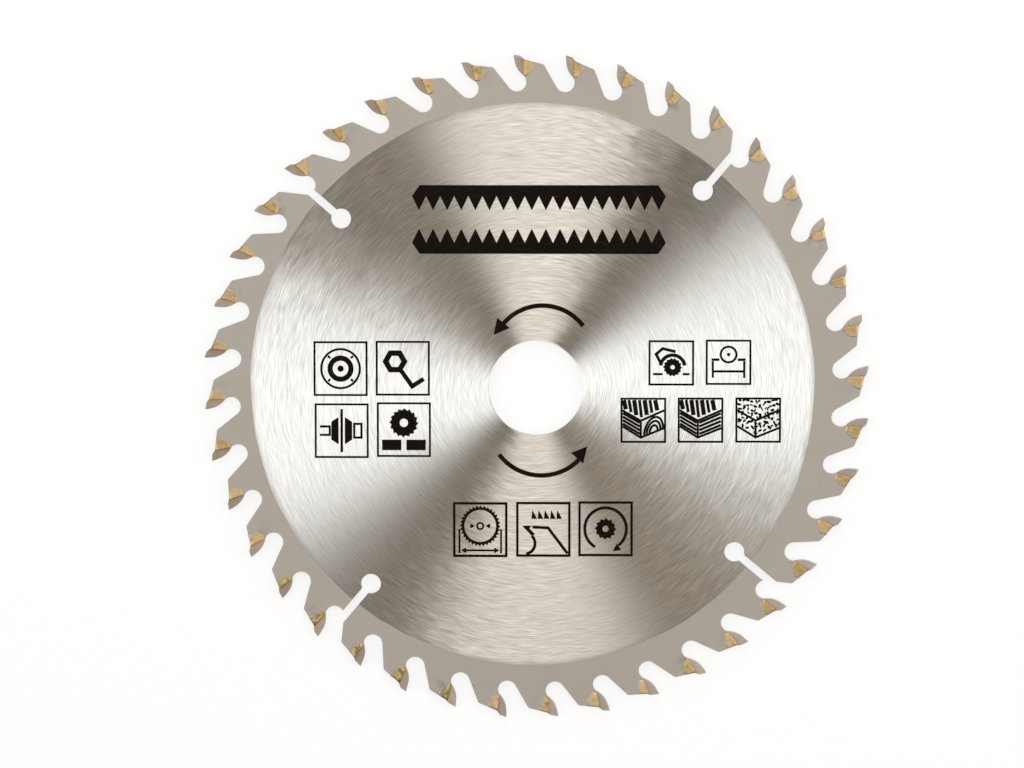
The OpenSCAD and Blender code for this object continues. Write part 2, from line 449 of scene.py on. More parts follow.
# Braze: golds from batch to batch, coppery patches, painted light towards the lit side of the rim, darker
# patches on another side, dark scale, and steel at the thin rim
GOLD_DEEP = colour(0.47, 0.345, 0.145)
GOLD_PALE = colour(0.64, 0.49, 0.27)
GOLD_COPPERY = colour(0.61, 0.43, 0.26)
GOLD_DARKER = colour(0.20, 0.165, 0.075)
BRAZE_SCALE = colour(0.22, 0.14, 0.06)
BRAZE_STEEL = colour(0.445, 0.410, 0.362)
BRAZE_NOISE = (1.1, 3.0, 0.6)
PATCH_NOISE = (0.7, 2.0)
PATCHES = (0.45, 0.62)
PAINTED_SIDE_LIGHT = 0.11
DARK_SIDE_REACH = (0.88, 0.99, 0.0, 0.70)
DARK_SIDE_MOTTLE = (0.40, 0.56, 0.30, 1.35)
SCALE_MOTTLE = (0.50, 0.70)
SCALE_BATCH = (0.0, 0.7, 0.9, 0.35)
THIN_MOTTLE = 0.9
THIN_RIM = (0.60, 1.02, 0.0, 0.95)
THIN_BLUR = 0.14
BRAZE_BLUR = (0.3, 0.7, 0.36, 0.55)
BRAZE_BUMP = (0.25, 0.05)


def braze():
    """Pale golden filler metal, mottled by the flame, painted lighter towards one side of the blade and
    thinning out to bare steel at its rim.
    """
    look = Finish("braze", Metallic=1.0)
    spread = look.node("ShaderNodeAttribute", attribute_name="spread").outputs["Fac"]
    batch = look.node("ShaderNodeAttribute", attribute_name="batch").outputs["Fac"]
    mottle = look.patches(*BRAZE_NOISE)
    gold = look.blend(batch, GOLD_DEEP, GOLD_PALE)
    gold = look.blend(look.ramp(look.patches(*PATCH_NOISE), *PATCHES), gold, GOLD_COPPERY)
    # painted light: gold lighter towards the lit side of the rim and darker away from it
    gold = look.tinted(gold, look.linear(look.facing(LIT_AND_CLEAN_SIDE), PAINTED_SIDE_LIGHT, 1.0))
    # darker gold in patches towards one side of the rim
    darker_side = look.times(look.ramp(look.facing(DARK_BRAZE_SIDE), *DARK_SIDE_REACH), look.ramp(mottle, *DARK_SIDE_MOTTLE))
    gold = look.blend(darker_side, gold, GOLD_DARKER)
    scale = look.times(look.ramp(mottle, *SCALE_MOTTLE), look.ramp(batch, *SCALE_BATCH))
    filler = look.blend(scale, gold, BRAZE_SCALE)
    thin = look.ramp(look.add(spread, look.sway(mottle, THIN_MOTTLE)), *THIN_RIM)
    base = look.blend(thin, filler, BRAZE_STEEL)
    blur = look.linear(thin, THIN_BLUR, look.ramp(mottle, *BRAZE_BLUR))
    return look.dressed(base, blur, mottle, *BRAZE_BUMP)


INK_BLACK = colour(0.004, 0.0026, 0.0012)
INK_WORN = colour(0.026, 0.022, 0.016)
INK_STREAKS = (6.0, 0.25, 3.0)
INK_WEAR = (0.58, 0.80)
INK_BLUR = (0.3, 0.7, 0.60, 0.45)
INK_BUMP = (0.10, 0.004)


def ink():
    """Black print, slightly broken up by the steel's streaks under it."""
    look = Finish("ink", Specular_IOR_Level=0.06)
    _, radius = look.around()
    worn = look.streaks(radius, *INK_STREAKS)
    black = look.blend(look.ramp(worn, *INK_WEAR), INK_BLACK, INK_WORN)
    return look.dressed(black, look.ramp(worn, *INK_BLUR), worn, *INK_BUMP)


GROUND_STEEL = ground_steel()
BLASTED_STEEL = blasted_steel()
CUT_STEEL = cut_steel()
CARBIDE = carbide()
BRAZE = braze()
INK = ink()


# The solids' finishes

def finish_plate(plate):
    """Three finishes on one plate: ground disc, blasted rim, and everything cut through it."""
    mesh = plate.data
    mesh.materials.clear()
    for material in (GROUND_STEEL, BLASTED_STEEL, CUT_STEEL):
        mesh.materials.append(material)
    split_level = (PLATE_FACE + BAND_FACE) / 2 * MM
    for face in mesh.polygons:
        if abs(face.normal.z) < FLAT_TILT:
            face.material_index = 2
        elif abs(face.center.z) > split_level:
            face.material_index = 0
        else:
            face.material_index = 1


def finish_solid(node, material):
    node.data.materials.clear()
    node.data.materials.append(material)


for node_name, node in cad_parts.items():
    if node_name == "blade_body":
        finish_plate(node)
    else:
        finish_solid(node, BRAZE if node_name == "braze_joints" else CARBIDE)


# Objects

def new_object(name, data):
    """An object at the origin, in the scene."""
    made = bpy.data.objects.new(name, data)
    bpy.context.scene.collection.objects.link(made)
    return made


def new_piece(name, shape, material):
    """A piece from a bmesh, which is used up."""
    mesh = bpy.data.meshes.new(name)
    shape.to_mesh(mesh)
    shape.free()
    mesh.materials.append(material)
    return new_object(name, mesh)


# Pieces grown by rule

def new_tree(name, counts, sizes):
    """A geometry tree with named whole-number inputs and named sizes; gives the rule and those inputs."""
    tree = bpy.data.node_groups.new(name, "GeometryNodeTree")
    tree.interface.new_socket(name="Geometry", in_out="OUTPUT", socket_type="NodeSocketGeometry")
    for labels, kind in ((counts, "NodeSocketInt"), (sizes, "NodeSocketFloat")):
        for label in labels:
            tree.interface.new_socket(name=label, in_out="INPUT", socket_type=kind)
    rule = Graph(tree)
    return rule, rule.node("NodeGroupInput").outputs


def close_tree(rule, geometry, material):
    """Ends a tree drawn in millimetres: plain mesh, in metres, with its material."""
    real = rule.geometry("RealizeInstances", {"Geometry": geometry})
    sized = rule.geometry("Transform", {"Geometry": real, "Scale": (MM, MM, MM)})
    made = rule.geometry("SetMaterial", {"Geometry": sized, "Material": material})
    rule.node("NodeGroupOutput", {"Geometry": made})


def grow(name, rule, **values):
    """Runs a tree with these values and keeps the result as a plain mesh piece."""
    piece = new_object(name, bpy.data.meshes.new(name + "_start"))
    modifier = piece.modifiers.new("rule", "NODES")
    modifier.node_group = rule.tree
    for item in rule.tree.interface.items_tree:
        if item.in_out == "INPUT":
            modifier[item.identifier] = values[item.name]
    evaluated = piece.evaluated_get(bpy.context.evaluated_depsgraph_get())
    mesh = bpy.data.meshes.new_from_object(evaluated)
    piece.modifiers.remove(modifier)
    mesh.name = name
    piece.data = mesh
    return piece


def block(rule, across_x, across_y, across_z):
    """A unit block with that many points a side, and its 0..1 coordinates."""
    sockets = {"Vertices X": across_x, "Vertices Y": across_y, "Vertices Z": across_z}
    mesh = rule.geometry("MeshCube", sockets)
    place = rule.split(rule.geometry("InputPosition"))
    return mesh, [rule.add(place[axis], 0.5) for axis in ("X", "Y", "Z")]


def shaped(rule, mesh, x, y, z):
    return rule.geometry("SetPosition", {"Geometry": mesh, "Position": rule.joined(x, y, z)})


def stored(rule, mesh, name, value, domain="POINT"):
    sockets = {"Geometry": mesh, "Name": name, "Value": value}
    return rule.geometry("StoreNamedAttribute", sockets, data_type="FLOAT", domain=domain)


def copies(rule, points, shape, rotation, scale):
    """The shape on each point, turned and scaled."""
    sockets = {"Points": points, "Instance": shape, "Rotation": rotation, "Scale": scale}
    return rule.geometry("InstanceOnPoints", sockets)


def taper(rule, share, power):
    """1 at share 0, falling in a hollow curve to 0 at share 1."""
    return rule.math("POWER", rule.minus(1.0, share), power)


# A fillet is drawn from the upper corner of its seat: X along the tooth's back, Y outwards

def braze_wing(rule, given):
    """A wedge on the upper face that thins out to a round rim."""
    mesh, (back, up, out) = block(rule, *WING_POINTS)
    down = rule.times(rule.minus(1.0, up), given["Height"])
    chord = rule.math("POWER", rule.minus(BRAZE_RIM_DROP, down), 2.0)
    rim = rule.math("SQRT", rule.minus(BRAZE_RIM_R ** 2, chord))
    along = rule.times(back, rule.add(rim, rule.add(given["Reach"], -BRAZE_RIM_R)))
    fall = rule.times(along, BACK_FALL, up)
    low = rule.minus(-BRAZE_INSET, rule.add(down, fall))
    swell = rule.times(taper(rule, back, WING_HOLLOW), given["Rise"])
    thickness = rule.add(swell, BRAZE_SINK + BRAZE_RIM)
    level = rule.linear(out, thickness, BAND_FACE - BRAZE_SINK)
    return shaped(rule, stored(rule, mesh, "spread", back), along, low, level)


def braze_bead(rule, given):
    """A bead on top of the tooth's back, as wide as the plate."""
    mesh, (back, up, out) = block(rule, *BEAD_POINTS)
    along = rule.times(back, given["Bead"])
    top = rule.times(taper(rule, back, BEAD_HOLLOW), BEAD_RISE)
    height = rule.times(up, rule.add(top, BRAZE_SINK))
    level = rule.linear(along, -BACK_FALL, rule.add(height, -BRAZE_SINK))
    return shaped(rule, mesh, along, level, rule.sway(out, 2 * BAND_FACE))


def braze_film(rule, given):
    """The film between tip and seat."""
    mesh, (back, up, out) = block(rule, *FILM_POINTS)
    level = rule.times(rule.minus(up, 1.0), given["Height"])
    return shaped(rule, mesh, rule.times(back, SEAT_FILM), level, rule.sway(out, 2 * BAND_FACE))


def rippled(rule, mesh):
    """The fillets with wavy rims, shaded smooth on their faces only."""
    place = rule.vector("MULTIPLY", rule.geometry("InputPosition"), ON_FLAT)
    sockets = {"Vector": place, "Scale": RIPPLE_SCALE, "Detail": 1.0}
    ripple = rule.node("ShaderNodeTexNoise", sockets).outputs["Color"]
    ripple = rule.vector("SUBTRACT", ripple, (0.5, 0.5, 0.5))
    ripple = rule.vector("MULTIPLY", ripple, ON_FLAT)
    spread = rule.geometry("InputNamedAttribute", {"Name": "spread"}, data_type="FLOAT")
    offset = rule.scaled(ripple, rule.times(spread, BRAZE_RIPPLE))
    wavy = rule.geometry("SetPosition", {"Geometry": mesh, "Offset": offset})
    tilt = rule.split(rule.geometry("InputNormal"))["Z"]
    flat = rule.math("GREATER_THAN", rule.math("ABSOLUTE", tilt), FLAT_TILT)
    return rule.geometry("SetShadeSmooth", {"Geometry": wavy, "Selection": flat})


def braze_rule():
    """Fillets of filler metal round every tip: a wing on each face, a bead on top and a film in the seat."""
    rule, given = new_tree("braze_rule", ("Teeth", "Seed"), ("First", "Reach", "Height", "Rise", "Bead"))
    wing = braze_wing(rule, given)
    below = rule.geometry("Transform", {"Geometry": wing, "Scale": (1.0, 1.0, -1.0)})
    other_wing = rule.geometry("FlipFaces", {"Mesh": below})
    joint = rule.node("GeometryNodeJoinGeometry")
    for part in (wing, other_wing, braze_bead(rule, given), braze_film(rule, given)):
        rule.tree.links.new(part, joint.inputs["Geometry"])

    row = rule.geometry("MeshLine", {"Count": given["Teeth"]})
    number = rule.geometry("InputIndex")
    pitch = rule.math("DIVIDE", 2 * math.pi, given["Teeth"])
    angle = rule.linear(number, pitch, given["First"])
    seat = rule.turned((SEAT_X, SHOULDER_Y, 0.0), angle)
    seats = rule.geometry("SetPosition", {"Geometry": row, "Position": seat})
    length = rule.drawn(SHORT_FILLET, LONG_FILLET, given["Seed"])
    placed = copies(rule, seats, joint.outputs["Geometry"], rule.joined(z=angle), length)
    sockets = {2: 0.0, 3: 1.0, "Seed": rule.add(given["Seed"], BATCH_SEED)}
    tone = rule.node("FunctionNodeRandomValue", sockets, data_type="FLOAT").outputs[1]
    placed = stored(rule, placed, "batch", tone, "INSTANCE")
    real = rule.geometry("RealizeInstances", {"Geometry": placed})
    close_tree(rule, rippled(rule, real), BRAZE)
    return rule


fillets = grow(
    "braze_fillets", braze_rule(), Teeth=TEETH, Seed=BRAZE_SEED, First=math.radians(FIRST_TOOTH - 90.0),
    Reach=BRAZE_REACH, Height=SEAT_HEIGHT, Rise=BRAZE_RISE, Bead=BEAD_REACH)
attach(fillets, "root")
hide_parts("braze_joints")


# Outlines on the flat

ROUND_STEPS = 48


def right_of(step):
    return Vector((step.y, -step.x)).normalized()


def spot(centre, radius, angle):
    """The point at that distance and angle, in degrees, from a centre."""
    turn = math.radians(angle)
    return centre[0] + radius * math.cos(turn), centre[1] + radius * math.sin(turn)


def bow(centre, radius, start, end, steps=ROUND_STEPS):
    """Points on an arc, from start to end in degrees."""
    return [spot(centre, radius, start + (end - start) * i / steps) for i in range(steps + 1)]


def ring(centre, radius, steps=ROUND_STEPS):
    return bow(centre, radius, 0.0, 360.0, steps)[:-1]


def rectangle(left, low, right, top):
    return [(left, low), (right, low), (right, top), (left, top)]


def arrow_head(tip, heading, length, width):
    """Triangle whose tip points along heading, in degrees."""
    ahead = Vector(spot(MIDDLE, 1.0, heading))
    side = Vector((-ahead.y, ahead.x)) * (width / 2)
    back = Vector(tip) - ahead * length
    return [tip, tuple(back + side), tuple(back - side)]


# Crescents of finish between the disc's step and the edge of the grinding

def run_reach(angle):
    """How far from the arbor the grinding ends, at this angle in degrees."""
    turn = math.radians(angle)
    centre_x, centre_y = RUN_CENTRE
    ahead = centre_x * math.cos(turn) + centre_y * math.sin(turn)
    aside = centre_y * math.cos(turn) - centre_x * math.sin(turn)
    wave = sum(height * math.sin(count * turn) for count, height in RUN_WAVES)
    return ahead + math.sqrt(RUN_R ** 2 - aside ** 2) + wave


def add_crescent(shape, start, end, limits, low, top):
    """One closed arc from the step to the edge of the grinding, whose distance is kept within limits."""
    count = math.ceil(end - start)
    sections = []
    for i in range(count + 1):
        angle = start + (end - start) * i / count
        far = min(max(run_reach(angle), limits[0]), limits[1])
        section = ((GROUND_R, low), (far, low), (far, top), (GROUND_R, top))
        places = [(spot(MIDDLE, reach, angle), level) for reach, level in section]
        sections.append([shape.verts.new((x * MM, y * MM, level * MM)) for (x, y), level in places])
    for here, after in zip(sections, sections[1:]):
        for i in range(len(here)):
            shape.faces.new((here[i - 1], here[i], after[i], after[i - 1]))
    shape.faces.new(sections[0])
    shape.faces.new(sections[-1])


def add_run_out(name, material, arcs, limits, low, top):
    """The crescents of one finish on both faces, as one piece."""
    shape = bmesh.new()
    for side in (1.0, -1.0):
        for start, end in arcs:
            add_crescent(shape, start, end, limits, side * low, side * top)
    bmesh.ops.recalc_face_normals(shape, faces=shape.faces[:])
    run_out = new_piece(name, shape, material)
    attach(run_out, "root")


def add_run_outs():
    """Grinding that goes on past the step on one side, and stops short of it on the other."""
    outside = (GROUND_R + RUN_LEAST, GROUND_R + RUN_MOST)
    low, top = BAND_FACE - RUN_SINK, PLATE_FACE
    add_run_out("ground_run_out", GROUND_STEEL, GROUND_ARCS, outside, low, top)
    inside = (GROUND_R - RUN_MOST, GROUND_R - RUN_LEAST)
    low, top = PLATE_FACE - RUN_SINK, PLATE_FACE + RUN_SINK
    add_run_out("blasted_run_in", BLASTED_STEEL, BLASTED_ARCS, inside, low, top)


# Print on the upper face, in millimetres from the arbor

INK_LOW = 0.645
INK_TOP = 0.664
INK_MIDDLE = (INK_LOW + INK_TOP) / 2
FRAME_LINES = {"print_left": 0.43, "print_right": 0.43, "print_bottom": 0.52}
FINE_LINE = 0.48
SIGN_LINE = 0.62
BOLD_LINE = 0.95
GUARD_LINE = 0.75
BENCH_LINE = 0.55
MEASURE_LINE = 0.40
BOARD_LINE = 0.54
SHARPEST_CORNER = 0.4


class Print:
    """Flat closed ink shapes, collected into one piece; drawn in a box of that centre and half size."""

    def __init__(self, name):
        self.name = name
        self.mesh = bmesh.new()
        self.set_box(MIDDLE, (1.0, 1.0))

    def set_box(self, centre, half):
        self.centre = centre
        self.half = half

    def corners(self, points, height):
        """Mesh points at these places of the box."""
        (x, y), (w, h) = self.centre, self.half
        places = [((x + u * w) * MM, (y + v * h) * MM, height * MM) for u, v in points]
        return [self.mesh.verts.new(place) for place in places]

    def fill(self, outline):
        """A filled shape; its outline runs anticlockwise."""
        low = self.corners(outline, INK_LOW)
        top = self.corners(outline, INK_TOP)
        self.mesh.faces.new(top)
        self.mesh.faces.new(low[::-1])
        for i in range(len(outline)):
            self.mesh.faces.new((low[i - 1], low[i], top[i], top[i - 1]))

    def band(self, outer, inner, closed=True):
        """A strip between two lines of as many points; outer lies to the right of its own direction."""
        edges = ((outer, INK_LOW), (outer, INK_TOP), (inner, INK_TOP), (inner, INK_LOW))
        rows = [self.corners(line, height) for line, height in edges]
        count = len(outer)
        for i in range(count if closed else count - 1):
            j = (i + 1) % count
            for a, b in zip(rows, rows[1:] + rows[:1]):
                self.mesh.faces.new((a[i], a[j], b[j], b[i]))
        if not closed:
            self.mesh.faces.new([row[0] for row in rows])
            self.mesh.faces.new([row[-1] for row in rows[::-1]])

    def line(self, path, width, closed=False):
        """A line of even width in millimetres along a path."""
        w, h = self.half
        steps = [Vector((u * w, v * h)) for u, v in path]
        outer, inner = [], []
        for i, here in enumerate(steps):
            before = steps[i - 1] if i or closed else None
            after = steps[(i + 1) % len(steps)] if i + 1 < len(steps) or closed else None
            sides = [right_of(here - before)] if before is not None else []
            sides += [right_of(after - here)] if after is not None else []
            middle = sum(sides, Vector(MIDDLE)).normalized()
            push = middle * (width / 2 / max(SHARPEST_CORNER, middle.dot(sides[0])))
            outer.append(((here + push).x / w, (here + push).y / h))
            inner.append(((here - push).x / w, (here - push).y / h))
        self.band(outer, inner, closed)

    def piece(self):
        """The finished piece, on the blade."""
        made = new_piece(self.name, self.mesh, INK)
        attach(made, "root")


# Arrows: centre, radius, start and end of the bow in degrees, then tip and heading of its head
TURN_ARROWS = (
    ((1.35, 6.65), 10.7, 37.0, 139.4, (-8.9, 11.15), 231.0),
    ((1.1, -7.35), 11.1, 217.0, 315.5, (10.8, -12.3), 49.0),
)
HEAD_LENGTH = 3.3
HEAD_WIDTH = 3.4


def print_turn_arrows():
    """The two arrows round the bore that show the way it turns."""
    layer = Print("print_turn_arrows")
    for centre, radius, start, end, tip, heading in TURN_ARROWS:
        layer.line(bow(centre, radius, start, end), BOLD_LINE)
        layer.fill(arrow_head(tip, heading, HEAD_LENGTH, HEAD_WIDTH))
    layer.piece()


# Pictures, each drawn in a box from -1 to 1

def draw_small_blade(layer, centre, tips, roots, bore, teeth):
    """A small saw blade, from the radii of its tips, tooth roots and bore."""
    step = 360.0 / teeth
    outline = []
    for i in range(teeth):
        outline.append(spot(centre, tips, i * step))
        outline.append(spot(centre, roots, (i + 0.25) * step))
    layer.band(outline, ring(centre, bore, 2 * teeth))


def draw_flange(layer):
    """A clamped blade from the front."""
    layer.line(ring(MIDDLE, 0.74), FINE_LINE, closed=True)
    layer.band(ring(MIDDLE, 0.50), ring(MIDDLE, 0.30))
    layer.fill(ring(MIDDLE, 0.12))
    for turn in (45.0, 135.0, 225.0, 315.0):
        layer.line([spot(MIDDLE, r, turn) for r in (0.56, 0.68)], FINE_LINE)


def draw_hex_key(layer):
    """A hexagon bolt and its bent key."""
    layer.band(ring((-0.30, 0.26), 0.48, 6), ring((-0.30, 0.26), 0.24, 6))
    layer.line([(-0.06, -0.10), (0.36, -0.68), (0.80, -0.40)], BOLD_LINE)


def draw_clamped_edge(layer):
    """The blade edge-on between its flanges, on the arbor."""
    layer.fill(rectangle(-0.05, -0.82, 0.05, 0.82))
    layer.fill([(-0.40, -0.34), (-0.12, -0.52), (-0.12, 0.52), (-0.40, 0.34)])
    layer.fill([(0.40, 0.34), (0.12, 0.52), (0.12, -0.52), (0.40, -0.34)])
    layer.line([(-0.84, 0.16), (-0.46, 0.16), (-0.46, -0.16), (-0.84, -0.16)], FINE_LINE)
    layer.line([(0.48, -0.26), (0.76, -0.26), (0.76, 0.26), (0.48, 0.26)], FINE_LINE, closed=True)


def draw_kerf(layer):
    """A board with the blade above its cut."""
    draw_small_blade(layer, (0.0, 0.26), 0.56, 0.48, 0.16, 16)
    layer.fill(rectangle(-0.84, -0.78, -0.10, -0.38))
    layer.fill(rectangle(0.10, -0.78, 0.84, -0.38))


def draw_hand_saw(layer):
    """A hand-held saw: blade, guard, handle and sole."""
    draw_small_blade(layer, (0.06, -0.20), 0.44, 0.37, 0.10, 14)
    layer.line(bow((0.06, -0.20), 0.56, 8.0, 172.0, 24), GUARD_LINE)
    layer.line([(-0.50, 0.02), (-0.70, 0.40), (-0.40, 0.66), (0.20, 0.52)], SIGN_LINE)
    layer.line([(-0.84, -0.52), (-0.40, -0.52)], FINE_LINE)
    layer.line([(0.52, -0.52), (0.84, -0.52)], FINE_LINE)


def draw_bench_saw(layer):
    """A blade standing up through a bench on two legs."""
    layer.line(ring((0.0, 0.36), 0.36, 32), FINE_LINE, closed=True)
    layer.fill(ring((0.0, 0.36), 0.08, 16))
    layer.line([(-0.78, 0.12), (-0.42, 0.12)], BENCH_LINE)
    layer.line([(0.42, 0.12), (0.78, 0.12)], BENCH_LINE)
    for side in (-0.72, 0.72):
        layer.line([(side, 0.05), (side, -0.72)], FINE_LINE)
    layer.line([(-0.68, -0.42), (0.68, -0.42)], FINE_LINE)


# Block of board: corners of its two sides, slopes of their lower edges, and the lines on them
BLOCK_LEFT = ((-0.96, 0.46), (-0.12, -0.02), (-0.12, -0.80), (-0.96, -0.28))
BLOCK_RIGHT = ((-0.12, -0.02), (0.96, 0.46), (0.96, -0.36), (-0.12, -0.80))
BLOCK_CORNER = BLOCK_LEFT[2]
BLOCK_LEFT_SLOPE = 0.62
BLOCK_RIGHT_SLOPE = 0.41
BOARD_LAYERS = (0.18, 0.40, 0.62, 0.84)
TIMBER_RINGS = (0.34, 0.58, 0.80)
RINGS_ACROSS = 0.55
RINGS_UP = 0.06
RINGS_SQUEEZE = 0.5
GRAIN_FEET = (-0.80, -0.56, -0.32, -0.08, 0.16, 0.40, 0.64)
GRAIN_GAP = 0.14
GRAIN_LEAN = 0.10
GRAIN_TOP = 0.94
GRAIN_LINES = (0.92, 0.64)


def on_face(face, across, up):
    """A point of a block's side, across and up from 0 to 1."""
    left_top, right_top, right_low, left_low = face
    top = [a + (b - a) * across for a, b in zip(left_top, right_top)]
    low = [a + (b - a) * across for a, b in zip(left_low, right_low)]
    return tuple(a + (b - a) * up for a, b in zip(low, top))


def draw_block(layer):
    """The edges of a block's two sides."""
    layer.line([BLOCK_LEFT[3], BLOCK_LEFT[2], BLOCK_RIGHT[2]], FINE_LINE)
    layer.line([BLOCK_LEFT[0], BLOCK_LEFT[1], BLOCK_RIGHT[1]], FINE_LINE)
    layer.line([on_face(BLOCK_LEFT, 1.0, 0.05), on_face(BLOCK_LEFT, 1.0, 0.94)], FINE_LINE)


def draw_top_grain(layer):
    """Grain lines on top of a block, thick and thin by turns, that stop short of its upper edges."""
    for i, foot in enumerate(GRAIN_FEET):
        (x0, y0), (x1, y1) = BLOCK_LEFT[:2] if foot < BLOCK_CORNER[0] else BLOCK_RIGHT[:2]
        edge = y0 + (y1 - y0) * (foot - x0) / (x1 - x0)
        layer.line([(foot, edge + GRAIN_GAP), (foot - GRAIN_LEAN, GRAIN_TOP)], GRAIN_LINES[i % 2])


def draw_layers(layer, face, start, end):
    """Lines along one side of a block."""
    for up in BOARD_LAYERS:
        layer.line([on_face(face, start, up), on_face(face, end, up)], BOARD_LINE)


def draw_timber(layer):
    """Solid wood: rings on the end grain."""
    draw_block(layer)
    draw_top_grain(layer)
    draw_layers(layer, BLOCK_LEFT, 0.02, 0.94)
    for share in TIMBER_RINGS:
        arch = bow(MIDDLE, share, 180.0, 0.0, 18)
        path = [on_face(BLOCK_RIGHT, RINGS_ACROSS + RINGS_SQUEEZE * x, RINGS_UP + y) for x, y in arch]
        layer.line(path, FINE_LINE)


def draw_plywood(layer):
    """Layered board: stripes along both sides."""
    draw_block(layer)
    draw_top_grain(layer)
    draw_layers(layer, BLOCK_LEFT, 0.02, 0.94)
    draw_layers(layer, BLOCK_RIGHT, 0.06, 0.98)


def draw_blade_size(layer):
    """A blade with the lines that measure it."""
    draw_small_blade(layer, (0.0, 0.14), 0.79, 0.70, 0.61, 32)
    layer.line(ring((0.0, 0.14), 0.12, 24), MEASURE_LINE, closed=True)
    layer.fill(arrow_head((-0.20, 0.14), 0.0, 0.18, 0.20))
    layer.fill(arrow_head((0.20, 0.14), 180.0, 0.18, 0.20))
    for side in (-0.80, 0.80):
        layer.line([(side, 0.02), (side, -0.90)], MEASURE_LINE)
    layer.line([(-0.54, -0.79), (0.54, -0.79)], MEASURE_LINE)
    layer.fill(arrow_head((-0.74, -0.79), 180.0, 0.20, 0.22))
    layer.fill(arrow_head((0.74, -0.79), 0.0, 0.20, 0.22))


def draw_tooth_form(layer):
    """One tooth from the side, with its tip, under a short row of small teeth."""
    layer.fill([(-0.82, 0.14), (-0.44, -0.26), (-0.32, -0.18), (-0.54, 0.04), (-0.44, 0.14)])
    layer.line([(-0.42, 0.085), (0.18, 0.06), (0.93, -0.92)], SIGN_LINE)
    layer.line(bow((-0.72, -0.54), 0.40, 46.0, -58.0, 16) + [(-0.66, -0.94)], SIGN_LINE)
    for i in range(5):
        heel = -0.46 + 0.24 * i
        layer.fill([(heel, 0.40), (heel + 0.22, 0.40), (heel + 0.04, 0.74)])


def draw_turn_sign(layer):
    """An open circle with a head round a small blade: the way of turning."""
    layer.line(bow(MIDDLE, 0.80, 240.0, -52.0), SIGN_LINE)
    layer.fill(arrow_head((0.27, -0.85), 214.0, 0.30, 0.30))
    draw_small_blade(layer, MIDDLE, 0.42, 0.34, 0.12, 12)


# Framed pictures of each piece of print: centre, half size and drawing
SMALL_BOX = (4.57, 4.55)
LARGE_BOX = (5.48, 5.56)
CHIP_PLACE = (46.65, -6.65)
PICTURES = {
    "print_left": (
        ((-41.1, 4.0), LARGE_BOX, draw_flange),
        ((-28.0, 4.1), LARGE_BOX, draw_hex_key),
        ((-40.9, -9.1), LARGE_BOX, draw_clamped_edge),
        ((-27.8, -8.85), LARGE_BOX, draw_kerf),
    ),
    "print_right": (
        ((28.4, 5.35), SMALL_BOX, draw_hand_saw),
        ((40.4, 5.5), SMALL_BOX, draw_bench_saw),
        ((22.55, -6.75), SMALL_BOX, draw_timber),
        ((34.55, -6.7), SMALL_BOX, draw_plywood),
        (CHIP_PLACE, SMALL_BOX, draw_block),
    ),
    "print_bottom": (
        ((-11.75, -29.95), LARGE_BOX, draw_blade_size),
        ((1.55, -29.85), LARGE_BOX, draw_tooth_form),
        ((14.65, -29.7), LARGE_BOX, draw_turn_sign),
    ),
}


def print_pictures(name, boxes):
    """One group of framed pictures, as one piece."""
    layer = Print(name)
    for centre, half, draw in boxes:
        layer.set_box(centre, half)
        layer.line(rectangle(-1.0, -1.0, 1.0, 1.0), FRAME_LINES[name], closed=True)
        draw(layer)
    layer.piece()


def ink_prism(rule, sides):
    """A flat prism of ink of radius 1."""
    sockets = {"Vertices": sides, "Radius": 1.0, "Depth": INK_TOP - INK_LOW}
    return rule.geometry("MeshCylinder", sockets, fill_type="NGON")


# Flecks of the last board picture: the sheet they lie on, in half sizes of the box, and a fleck's size in
# millimetres, with the least and the most of it along and across
CHIP_SHEET = 1.76
CHIP_ROWS = 10
CHIP_SHIFT = 0.07
CHIP_MARGIN = 0.12
CHIP_SEED = 5
FLECK_SIDES = 5
FLECK_SIZE = 0.50
SMALL_FLECK = (0.7, 0.35, 1.0)
LARGE_FLECK = (1.3, 0.7, 1.0)


def chip_rule():
    """Ink flecks scattered over the block of the last board picture, kept inside its lower edges."""
    rule, given = new_tree("chip_rule", ("Columns", "Rows", "Seed"), ("X", "Y", "Half", "Fleck"))
    size = {"Size X": CHIP_SHEET, "Size Y": CHIP_SHEET}
    sockets = {"Vertices X": given["Columns"], "Vertices Y": given["Rows"], **size}
    sheet = rule.geometry("MeshGrid", sockets)
    shift = rule.drawn((-CHIP_SHIFT, -CHIP_SHIFT, 0.0), (CHIP_SHIFT, CHIP_SHIFT, 0.0), given["Seed"])
    loose = rule.geometry("SetPosition", {"Geometry": sheet, "Offset": shift})

    place = rule.split(rule.geometry("InputPosition"))
    from_corner = rule.add(place["X"], -BLOCK_CORNER[0])
    left_edge = rule.times(from_corner, -BLOCK_LEFT_SLOPE)
    right_edge = rule.times(from_corner, BLOCK_RIGHT_SLOPE)
    edge = rule.math("MAXIMUM", left_edge, right_edge)
    below = rule.math("LESS_THAN", place["Y"], rule.add(edge, BLOCK_CORNER[1] + CHIP_MARGIN))
    kept = rule.geometry("DeleteGeometry", {"Geometry": loose, "Selection": below})
    sockets = {
        "Geometry": kept,
        "Scale": rule.joined(given["Half"], given["Half"], 1.0),
        "Translation": rule.joined(given["X"], given["Y"], INK_MIDDLE),
    }
    spots = rule.geometry("Transform", sockets)

    size = rule.drawn(SMALL_FLECK, LARGE_FLECK, rule.add(given["Seed"], 1))
    size = rule.vector("MULTIPLY", size, rule.joined(given["Fleck"], given["Fleck"], 1.0))
    turn = rule.drawn((0.0, 0.0, 0.0), (0.0, 0.0, math.pi), rule.add(given["Seed"], 2))
    close_tree(rule, copies(rule, spots, ink_prism(rule, FLECK_SIDES), turn, size), INK)
    return rule


